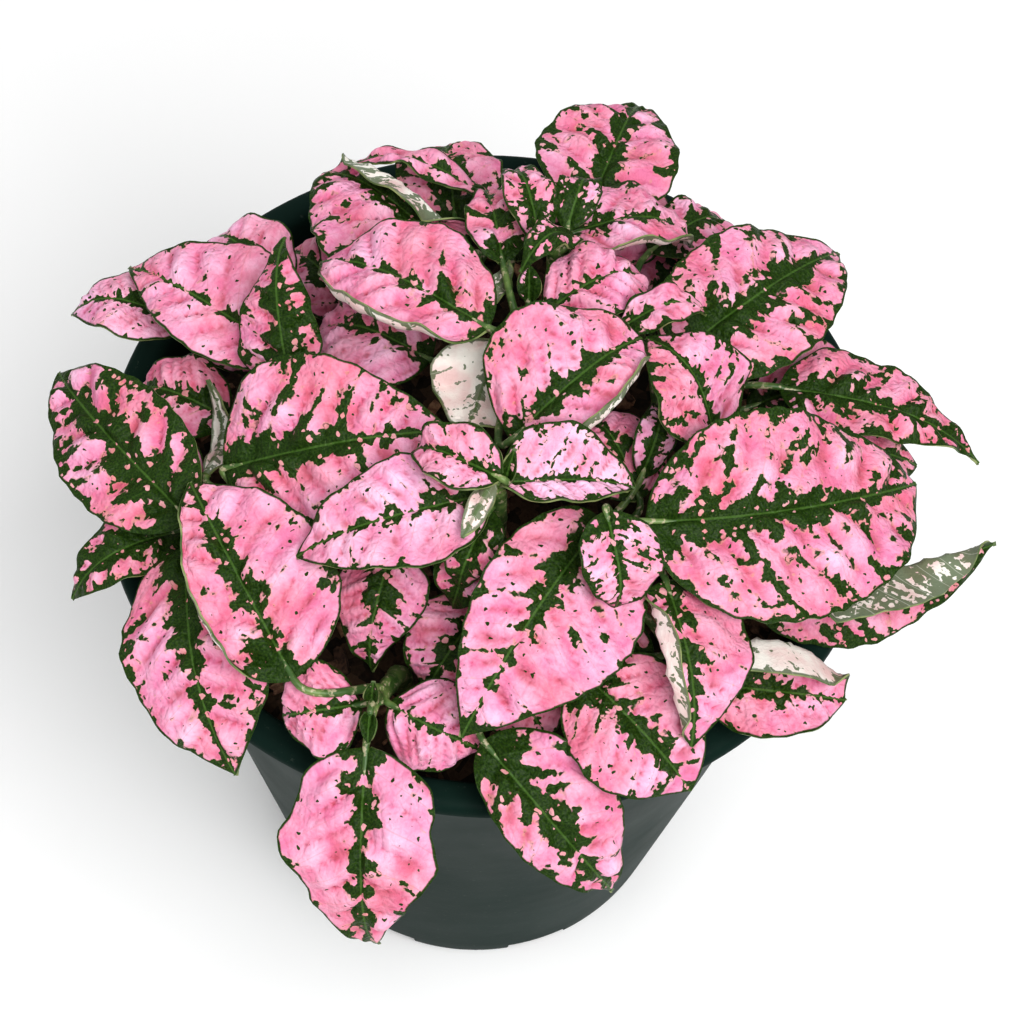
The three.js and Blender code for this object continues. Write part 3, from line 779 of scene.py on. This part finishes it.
# The count of side veins, which is whole midway between two creases; between, 0 at a crease and 1 midway;
# and how far each panel swells or sinks.
def quiltOf(build, side, x, y, spacing, phases, drift):
    slant = y - build["veinSlant"] * x + build["veinBend"] * x * x
    veins = slant / spacing + 0.5 + drift * side + 0.05 * np.sin(x / 2.1 + phases[2])
    veins = veins + build["veinSway"] * np.sin(slant / (1.5 * spacing) + phases[4] + 2 * side)
    between = np.abs(np.sin(np.pi * (veins - 0.5)))
    panel = np.floor(veins - 0.5)
    puff = build["puff"] + build["puffChange"] * np.sin(x / 2.3 + 2.3 * panel + phases[5] + side)
    bumps = np.sin(x / 1.5 + 2 * np.sin(slant / 3.4 + phases[5])) * np.sin(slant / 1.9 + side)
    return veins, between, puff * between**0.65 - 0.5 + 0.7 * build["bumps"] * bumps


# Half of a blade from its midrib to the margin, in rows and columns: its points, its place and span for
# the pattern, the share of the full thickness, and the relief.
def halfBlade(shape, build, side, half, s, length, phases, drift):
    spine, _, above, right = (part[:, None] for part in midribOf(shape, s))
    reach = reachOf(shape, build, side, s, length, phases)
    s = s[:, None]
    y = s * length
    v = ((np.arange(half + 1) / half) ** 1.06)[None, :]
    x = reach[:, None] * v
    # it folds, cups and rolls up across its width
    curl = shape["curlLeft"] if side < 0 else shape["curlRight"]
    roll = smooth((v - shape["curlStart"]) / (shape["curlEnd"] - shape["curlStart"]))
    ends = np.minimum(1, np.minimum(4 * s, 5 * (1 - s)))
    angle = np.radians(shape["fold"] + shape["cup"] * v + curl * roll * ends)
    middle = (angle[:, 1:] + angle[:, :-1]) / 2
    step = np.diff(x, axis=1)
    start = np.zeros((len(s), 1))
    out = np.concatenate([start, np.cumsum(np.cos(middle) * step, axis=1)], axis=1)
    up = np.concatenate([start, np.cumsum(np.sin(middle) * step, axis=1)], axis=1)
    wave = shape["wave"] * v**2 * np.sin(2 * np.pi * 2.6 * s + 1.3 * side)
    wave = wave * np.minimum(1, np.minimum(6 * s, 6 * (1 - s)))
    ripple = np.sin(2 * np.pi * s * length / build["rippleLength"] + phases[1] + side)
    up = up + wave + build["ripple"] * v**3 * ripple
    # the quilting fades at the midrib, the foot, the tip and the margin, and where the blade rolls up
    spacing = length / (build["veins"] if shape["width"] > build["narrowLeaf"] else build["fewVeins"])
    veins, between, swelling = quiltOf(build, side, x, y, spacing, phases, drift)
    fade = smooth(x / 1.6) * (1 - build["marginFade"] * smooth((v - 0.5) / 0.5)) * smooth(8 * s)
    fade = fade * smooth(7 * (1 - s)) * (1 - build["rollFade"] * roll * min(1, curl / 60))
    relief = swelling * fade
    quilt = build["quiltHeight"] * shape["quilt"] * min(1.15, spacing / 5)
    groove = build["groove"] * np.exp(-((x / 0.7) ** 2)) * smooth(1.2 * (1 - s))
    swell = np.sin(x / 4.4 + phases[3]) * np.sin(y / 6.1 + phases[4] + side) * smooth(x / 4)
    height = quilt * relief - groove + build["swell"] * swell + build["lift"]
    face = above * np.cos(angle)[..., None] - side * right * np.sin(angle)[..., None]
    points = spine + side * right * out[..., None] + above * up[..., None] + face * height[..., None]
    lean = 1 / np.sqrt(1 + np.gradient(reach, s[:, 0] * length) ** 2)
    edge = (reach[:, None] - x) * lean[:, None]
    place = np.stack(np.broadcast_arrays(side * x, y), -1)
    span = np.stack(np.broadcast_arrays(s, veins, edge), -1)
    ribThick = np.exp(-((x / 0.75) ** 2)) * (1 - 0.8 * s)
    veinThick = build["veinThickness"] * np.clip(1 - between * 4, 0, 1) * smooth(1.3 * (1 - v))
    return points, place, span, np.maximum(ribThick, veinThick), relief


def buildBlade(shape, build, seed):
    length = np.linalg.norm(np.subtract(shape["to"], shape["at"]))
    cell = build["cell"] if shape["width"] > build["smallLeaf"] else build["fineCell"]
    rows = max(16, round(length / cell))
    half = max(6, round(shape["width"] / 2 / cell))
    columns = 2 * half
    bpy.ops.mesh.primitive_grid_add(x_subdivisions=columns, y_subdivisions=rows, size=1)
    blade = bpy.context.object
    mesh = blade.data
    flat = np.empty(len(mesh.vertices) * 3)
    mesh.vertices.foreach_get("co", flat)
    flat = flat.reshape(-1, 3)
    column = np.rint((flat[:, 0] + 0.5) * columns).astype(int)
    row = np.rint((flat[:, 1] + 0.5) * rows).astype(int)

    # the rows lie closer together at the foot and the tip
    t = np.arange(rows + 1) / rows
    s = t - 0.07 * np.sin(2 * np.pi * t)
    rng = np.random.default_rng(seed)
    phases = rng.uniform(0, 6.28, 6)
    drift = rng.uniform(-build["veinDrift"], build["veinDrift"])
    points, bladePlace, bladeSpan, bladeGrain = np.zeros((4, rows + 1, columns + 1, 3))
    ribWeight = np.zeros((rows + 1, columns + 1))
    bladePlace[..., 2] = seed
    bladeGrain[..., 0] = shape["grain"]
    for side in (-1, 1):
        here = half + side * np.arange(half + 1)
        sheet, place, span, weight, relief = halfBlade(shape, build, side, half, s, length, phases, drift)
        points[:, here] = sheet
        bladePlace[:, here, :2] = place
        bladeSpan[:, here] = span
        bladeGrain[:, here, 1] = relief
        ribWeight[:, here] = weight

    mesh.vertices.foreach_set("co", (points[row, column] * mm).ravel())
    for name, values in (("bladePlace", bladePlace), ("bladeSpan", bladeSpan), ("bladeGrain", bladeGrain)):
        attribute = mesh.attributes.new(name, "FLOAT_VECTOR", "POINT")
        attribute.data.foreach_set("vector", values[row, column].ravel())
    look = np.tile([shape["green"], shape["rib"], shape["tone"], shape["light"]], (len(mesh.vertices), 1))
    mesh.attributes.new("bladeLook", "FLOAT_COLOR", "POINT").data.foreach_set("color", look.ravel())
    # the weights are set in ten levels
    ribs = blade.vertex_groups.new(name="ribs")
    levels = np.rint(ribWeight[row, column] * 10)
    for level in range(1, 11):
        chosen = np.flatnonzero(levels == level)
        if len(chosen):
            ribs.add([int(i) for i in chosen], level / 10, "REPLACE")
    for material in leafMaterials:
        mesh.materials.append(material)
    wall = blade.modifiers.new("blade", "SOLIDIFY")
    wall.thickness = build["thickness"] * mm
    wall.offset = -1
    wall.vertex_group = "ribs"
    wall.thickness_vertex_group = build["thinShare"]
    wall.material_offset = 1
    wall.material_offset_rim = 2
    applyModifiers(blade)
    shadeSmooth(build["smoothAngle"])
    return blade


# Stems and leaf stalks

# Lengths in mm. The lean, the handle, the swellings and the ends are shares.
stalkBuild = {
    "stemDepth": 14,
    "stemLean": 0.25,
    "stemSteps": 9,
    "stemSides": 5,
    "footRadius": 2.2,
    "topRadius": 1.45,
    "nodeEvery": 5,
    "nodeSwelling": 1.12,
    "stemEnd": 0.6,
    "stalkSteps": 12,
    "stalkSides": 3,
    "stalkRadius": 0.95,
    "stalkEndRadius": 0.6,
    "stalkFoot": (1.3, 1.1),
    "stalkEnd": 0.5,
    "ribShares": (0, 0.02, 0.05, 0.09),
    "ribSink": 0.35,
    "handle": 0.35,
    "smoothAngle": 60,
}


def stalkMaterial():
    material, tree, shader = newMaterial("stalkSkin")
    place = objectPlace(tree)
    patches = stepOf(tree, noiseOf(tree, place, 190, detail=3, roughness=0.6), 0.42, 0.62)
    flecks = stepOf(tree, noiseOf(tree, place, 900), 0.55, 0.66)
    colour = mixOf(tree, patches, (0.045, 0.105, 0.020, 1), (0.16, 0.24, 0.07, 1))
    colour = mixOf(tree, times(tree, flecks, 0.7), colour, (0.55, 0.47, 0.32, 1))
    setSurface(tree, shader, colour, 0.45, bumpOf(tree, noiseOf(tree, place, 1400, detail=3), 0.3, 0.0001))
    return material


stalkSkin = stalkMaterial()


def splineTube(name, points, radii, sides, build):
    curve = bpy.data.curves.new(name, "CURVE")
    curve.dimensions = "3D"
    curve.bevel_depth = mm
    curve.bevel_resolution = sides
    curve.use_fill_caps = True
    spline = curve.splines.new("POLY")
    spline.points.add(len(points) - 1)
    for point, place, radius in zip(spline.points, points, radii):
        point.co = (*(Vector(place) * mm), 1)
        point.radius = radius
    curve.materials.append(stalkSkin)
    piece = bpy.data.objects.new(name, curve)
    bpy.context.collection.objects.link(piece)
    selectOnly([piece])
    bpy.ops.object.convert(target="MESH")
    shadeSmooth(build["smoothAngle"])
    return bpy.context.object


def catmullRom(knots, steps):
    padded = [2 * knots[0] - knots[1], *knots, 2 * knots[-1] - knots[-2]]
    points = []
    for a, b, c, d in zip(padded, padded[1:], padded[2:], padded[3:]):
        for i in range(steps):
            t = i / steps
            bend = (2 * a - 5 * b + 4 * c - d) * t * t + (3 * b - a - 3 * c + d) * t**3
            points.append(0.5 * (2 * b + (c - a) * t + bend))
    return [*points, knots[-1]]


def bezier(a, b, c, d, steps):
    points = []
    for i in range(steps + 1):
        t = i / steps
        points.append(a * (1 - t) ** 3 + b * 3 * t * (1 - t) ** 2 + c * 3 * t * t * (1 - t) + d * t**3)
    return points


def stemPath(stem, build):
    foot = Vector((*stem["foot"], soilTop + 3))
    top = Vector(stem["top"])
    lean = build["stemLean"]
    knee = Vector((*foot.xy.lerp(top.xy, lean), foot.z + (top.z - foot.z) * 0.4))
    end = Vector((foot.x, foot.y, soilTop - build["stemDepth"]))
    return [end, *catmullRom([foot, knee, top], build["stemSteps"])]


def buildStalk(shape, path, build):
    spine, ahead, above, _ = midribOf(shape, np.array(build["ribShares"]))
    base = Vector(spine[0])
    # it leaves the stem well below the leaf, lower the farther out the leaf is
    reach = min((p.xy - base.xy).length for p in path)
    wanted = max(soilTop + 6, min(base.z - 3 - 0.45 * reach, path[-1].z - 1))
    over = next(i for i, p in enumerate(path) if p.z >= wanted)
    low, high = path[over - 1], path[over]
    start = low.lerp(high, (wanted - low.z) / (high.z - low.z))
    pull = build["handle"] * (start - base).length
    lifted = start + Vector((0, 0, pull))
    points = bezier(start, lifted, base - Vector(ahead[0]) * pull, base, build["stalkSteps"])
    points += [Vector(p) - Vector(up) * build["ribSink"] for p, up in zip(spine[1:], above[1:])]
    radii = list(np.linspace(build["stalkRadius"], build["stalkEndRadius"], len(points)))
    radii[0] *= build["stalkFoot"][0]
    radii[1] *= build["stalkFoot"][1]
    radii[-1] *= build["stalkEnd"]
    return splineTube("stalk", points, radii, build["stalkSides"], build)


def buildStem(path, build):
    radii = list(np.linspace(build["footRadius"], build["topRadius"], len(path)))
    for i in range(build["nodeEvery"] - 1, len(radii), build["nodeEvery"]):
        radii[i] *= build["nodeSwelling"]
    radii[-1] *= build["stemEnd"]
    return splineTube("stem", path, radii, build["stemSides"], build)


# A node's name in this script's way, such as stemCentreRight.
def pieceName(node):
    first, *others = node.split("_")
    return first + "".join(word.capitalize() for word in others)


def buildLeafyStem(node, stem, firstSeed):
    path = stemPath(stem, stalkBuild)
    parts = [buildBlade(shape, bladeBuild, firstSeed + i) for i, shape in enumerate(stem["leaves"])]
    parts.append(buildStem(path, stalkBuild))
    parts += [buildStalk(shape, path, stalkBuild) for shape in stem["leaves"]]
    piece = joinPieces(parts, pieceName(node))
    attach(piece, "root")
    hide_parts(node)
    print("leafy stem", piece.name, len(piece.data.polygons))


# each leaf has a seed of its own, and a stem has at most ten
for order, (node, stem) in enumerate(stems.items()):
    buildLeafyStem(node, stem, 1 + 10 * order)


# Pot

# The profile is radius and height in mm, and a notch is its depth along the radius, width and height.
potBuild = {
    "profile": [
        (0, 0), (43.2, 0), (44.8, 0.5), (45.7, 1.4), (46.1, 2.8), (47, 8),
        (57.3, 69), (68.5, 136.4), (69.2, 137.2), (70.3, 137.9), (70.7, 139), (71, 141.2),
        (71.5, 141.8), (74.9, 142.3), (75.7, 142.8), (76, 143.6), (75.8, 144.6), (75.3, 145.4),
        (74.4, 145.9), (73.4, 146), (71.4, 145.9), (70.2, 145.5), (69.5, 144.7), (69.1, 143.4),
        (68.6, 141), (66.7, 136.6), (44.4, 3), (43.6, 2.3), (42.4, 2.2), (0, 2.2),
    ],
    "sides": 160,
    "weld": 1e-5,  # metres
    "notches": 8,
    "notch": (12, 14, 9),
    "notchRadius": 46,
    "smoothAngle": 35,
}


def potMaterial():
    material, tree, shader = newMaterial("potPlastic")
    place = objectPlace(tree)
    broad = stepOf(tree, noiseOf(tree, place, 14, detail=3), 0.3, 0.7)
    colour = mixOf(tree, broad, (0.007, 0.020, 0.015, 1), (0.011, 0.027, 0.022, 1))
    dust = stepOf(tree, noiseOf(tree, place, 700, detail=3, roughness=0.7), 0.62, 0.74)
    colour = mixOf(tree, times(tree, dust, 0.12), colour, (0.20, 0.22, 0.19, 1))
    roughness = plus(tree, 0.36, times(tree, noiseOf(tree, place, 60, detail=4), 0.16))
    grain = bumpOf(tree, noiseOf(tree, place, 1800), 0.18, 0.0001)
    normal = bumpOf(tree, noiseOf(tree, place, 55), 0.12, 0.0012, grain)
    setSurface(tree, shader, colour, roughness, normal, specular=0.2)
    shader.inputs["IOR"].default_value = 1.17
    return material


def turnPot(build):
    mesh = bpy.data.meshes.new("pot")
    points = [(radius * mm, 0, height * mm) for radius, height in build["profile"]]
    mesh.from_pydata(points, [(i, i + 1) for i in range(len(points) - 1)], [])
    pot = bpy.data.objects.new("nurseryPot", mesh)
    bpy.context.collection.objects.link(pot)
    turn = pot.modifiers.new("turn", "SCREW")
    turn.steps = build["sides"]
    turn.render_steps = build["sides"]
    turn.use_merge_vertices = True
    turn.merge_threshold = build["weld"]
    applyModifiers(pot)
    bpy.ops.object.mode_set(mode="EDIT")
    bpy.ops.mesh.select_all(action="SELECT")
    bpy.ops.mesh.remove_doubles(threshold=build["weld"])
    bpy.ops.mesh.normals_make_consistent(inside=False)
    bpy.ops.object.mode_set(mode="OBJECT")
    return pot


def cutNotches(pot, build):
    deselectAll()
    cutters = []
    radius = build["notchRadius"] * mm
    for i in range(build["notches"]):
        angle = 2 * math.pi * (i + 0.5) / build["notches"]
        place = (radius * math.cos(angle), radius * math.sin(angle), 0)
        bpy.ops.mesh.primitive_cube_add(size=1, location=place, rotation=(0, 0, angle))
        cutter = bpy.context.object
        cutter.scale = tuple(side * mm for side in build["notch"])
        bpy.ops.object.transform_apply(location=True, rotation=True, scale=True)
        cutters.append(cutter)
    cutter = joinPieces(cutters, "notchCutter")
    cut = pot.modifiers.new("notches", "BOOLEAN")
    cut.operation = "DIFFERENCE"
    cut.object = cutter
    cut.solver = "EXACT"
    applyModifiers(pot)
    bpy.data.objects.remove(cutter)


def buildPot(build):
    pot = turnPot(build)
    cutNotches(pot, build)
    pot.data.materials.clear()
    pot.data.materials.append(potMaterial())
    shadeSmooth(build["smoothAngle"])
    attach(pot, "root")
    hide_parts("pot")
    print("pot", len(pot.data.polygons))


buildPot(potBuild)


# Soil and bark, with lengths in mm

soilBuild = {
    "bottom": 2.6,
    "bottomRadius": 43.8,
    "topRadius": 65.8,
    "rings": 22,
    "sides": 110,
    "sink": 0.6,
    "relief": 1.6,
    "rimDrop": 2,
}

chipBuild = {
    "seed": 12,
    "kinds": 6,
    "rounding": 0.28,
    "unevenness": 0.22,
    "count": 520,
    "spread": 61.8,
    "length": (2.2, 7.5),
    "shorter": (0.5, 1),
    "widthShare": (0.3, 0.7),
    "heightShare": (0.15, 0.35),
    "tilt": 0.5,
    "smoothAngle": 30,
}


def soilHeight(x, y):
    broad = noise.noise(Vector((x * 0.06, y * 0.06, 3)))
    lumps = noise.noise(Vector((x * 0.28, y * 0.28, 9)))
    crumbs = noise.noise(Vector((x * 1.1, y * 1.1, 5)))
    return soilTop - soilBuild["sink"] + soilBuild["relief"] * (0.7 * broad + 0.6 * lumps + 0.35 * crumbs)


def peatMaterial(scale=420):
    material, tree, shader = newMaterial("peat")
    place = objectPlace(tree)
    lumps = partsOf(tree, voronoiOf(tree, place, scale)["Color"])[0]
    crumbs = noiseOf(tree, place, scale * 3, detail=4)
    shade = stepOf(tree, plus(tree, times(tree, lumps, 0.6), times(tree, crumbs, 0.5)), 0.25, 0.95)
    colour = mixOf(tree, shade, (0.012, 0.008, 0.005, 1), (0.085, 0.050, 0.030, 1))
    normal = bumpOf(tree, noiseOf(tree, place, scale * 4, detail=5, roughness=0.7), 0.8, 0.0006)
    setSurface(tree, shader, colour, 0.9, normal, specular=0.25)
    return material


def chipMaterial():
    material, tree, shader = newMaterial("barkChip")
    tint = attributeOf(tree, "chipTint").outputs["Fac"]
    fibres = noiseOf(tree, objectPlace(tree), 900, detail=4, roughness=0.65)
    dark = mixOf(tree, tint, (0.030, 0.015, 0.009, 1), (0.22, 0.10, 0.055, 1))
    light = mixOf(tree, tint, (0.11, 0.055, 0.032, 1), (0.46, 0.27, 0.16, 1))
    colour = mixOf(tree, stepOf(tree, fibres, 0.35, 0.68), dark, light)
    setSurface(tree, shader, colour, 0.85, bumpOf(tree, fibres, 0.6, 0.0004))
    return material


def buildSoil(build):
    deselectAll()
    radius = build["topRadius"] * mm
    bpy.ops.mesh.primitive_circle_add(vertices=build["sides"], radius=radius, fill_type="NGON")
    soil = bpy.context.object
    soil.name = "soilBed"
    bpy.ops.object.mode_set(mode="EDIT")
    bpy.ops.mesh.select_all(action="SELECT")
    for _ in range(build["rings"]):
        bpy.ops.mesh.inset(thickness=radius / (build["rings"] + 1))
    bpy.ops.mesh.poke()
    bpy.ops.object.mode_set(mode="OBJECT")
    mesh = soil.data
    for vertex in mesh.vertices:
        drop = build["rimDrop"] if vertex.co.length > 0.999 * radius else 0
        vertex.co.z = (soilHeight(vertex.co.x / mm, vertex.co.y / mm) - drop) * mm
    bpy.ops.object.mode_set(mode="EDIT")
    bpy.ops.mesh.select_mode(type="EDGE")
    bpy.ops.mesh.select_all(action="DESELECT")
    bpy.ops.mesh.select_non_manifold()
    bpy.ops.mesh.extrude_region_move()
    bpy.ops.object.mode_set(mode="OBJECT")
    for vertex in mesh.vertices:
        if vertex.select:
            flat = vertex.co.xy.normalized() * build["bottomRadius"] * mm
            vertex.co = (*flat, build["bottom"] * mm)
    bpy.ops.object.mode_set(mode="EDIT")
    bpy.ops.mesh.edge_face_add()
    bpy.ops.mesh.select_all(action="SELECT")
    bpy.ops.mesh.normals_make_consistent(inside=False)
    bpy.ops.object.mode_set(mode="OBJECT")
    bpy.ops.object.shade_smooth()
    mesh.materials.append(peatMaterial())
    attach(soil, "root")
    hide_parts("soil")
    print("soil", len(mesh.polygons))


# Corners and sides of one rough lump of bark.
def chipKind(rng, build):
    bpy.ops.mesh.primitive_cube_add(size=1)
    lump = bpy.context.object
    bpy.ops.object.mode_set(mode="EDIT")
    bpy.ops.mesh.select_all(action="SELECT")
    bpy.ops.mesh.subdivide(number_cuts=1)
    bpy.ops.object.mode_set(mode="OBJECT")
    corners = []
    halfDiagonal = 0.87
    for vertex in lump.data.vertices:
        pull = 1 - build["rounding"] * (vertex.co.length / halfDiagonal) ** 2
        uneven = [1 + rng.uniform(-build["unevenness"], build["unevenness"]) for _ in range(3)]
        corners.append(Vector([c * pull * share for c, share in zip(vertex.co, uneven)]))
    sides = [tuple(side.vertices) for side in lump.data.polygons]
    bpy.data.objects.remove(lump)
    return corners, sides


def buildChips(build):
    rng = random.Random(build["seed"])
    points, faces, tints = [], [], []
    deselectAll()
    kinds = [chipKind(rng, build) for _ in range(build["kinds"])]
    for i in range(build["count"]):
        corners, sides = kinds[i % len(kinds)]
        length = rng.uniform(*build["length"]) * rng.uniform(*build["shorter"])
        width = length * rng.uniform(*build["widthShare"])
        height = length * rng.uniform(*build["heightShare"])
        radius = build["spread"] * math.sqrt(rng.random())
        angle = rng.uniform(0, 2 * math.pi)
        x, y = radius * math.cos(angle), radius * math.sin(angle)
        turn = Matrix.Rotation(rng.uniform(0, 6.28), 3, "Z")
        turn = turn @ Matrix.Rotation(rng.uniform(-build["tilt"], build["tilt"]), 3, "X")
        start = len(points)
        for corner in corners:
            place = turn @ (corner * Vector((length, width, height)))
            place += Vector((x, y, soilHeight(x, y) + height * rng.uniform(0.28, 0.3)))
            points.append(place * mm)
        faces += [tuple(start + k for k in side) for side in sides]
        tints += [rng.random() ** 2] * len(corners)
    mesh = bpy.data.meshes.new("chips")
    mesh.from_pydata(points, [], faces)
    mesh.attributes.new("chipTint", "FLOAT", "POINT").data.foreach_set("value", tints)
    mesh.materials.append(chipMaterial())
    chips = bpy.data.objects.new("barkChips", mesh)
    bpy.context.collection.objects.link(chips)
    selectOnly([chips])
    shadeSmooth(build["smoothAngle"])
    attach(chips, "root")
    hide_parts("soil")
    print("bark chips", len(mesh.polygons))


buildSoil(soilBuild)
buildChips(chipBuild)
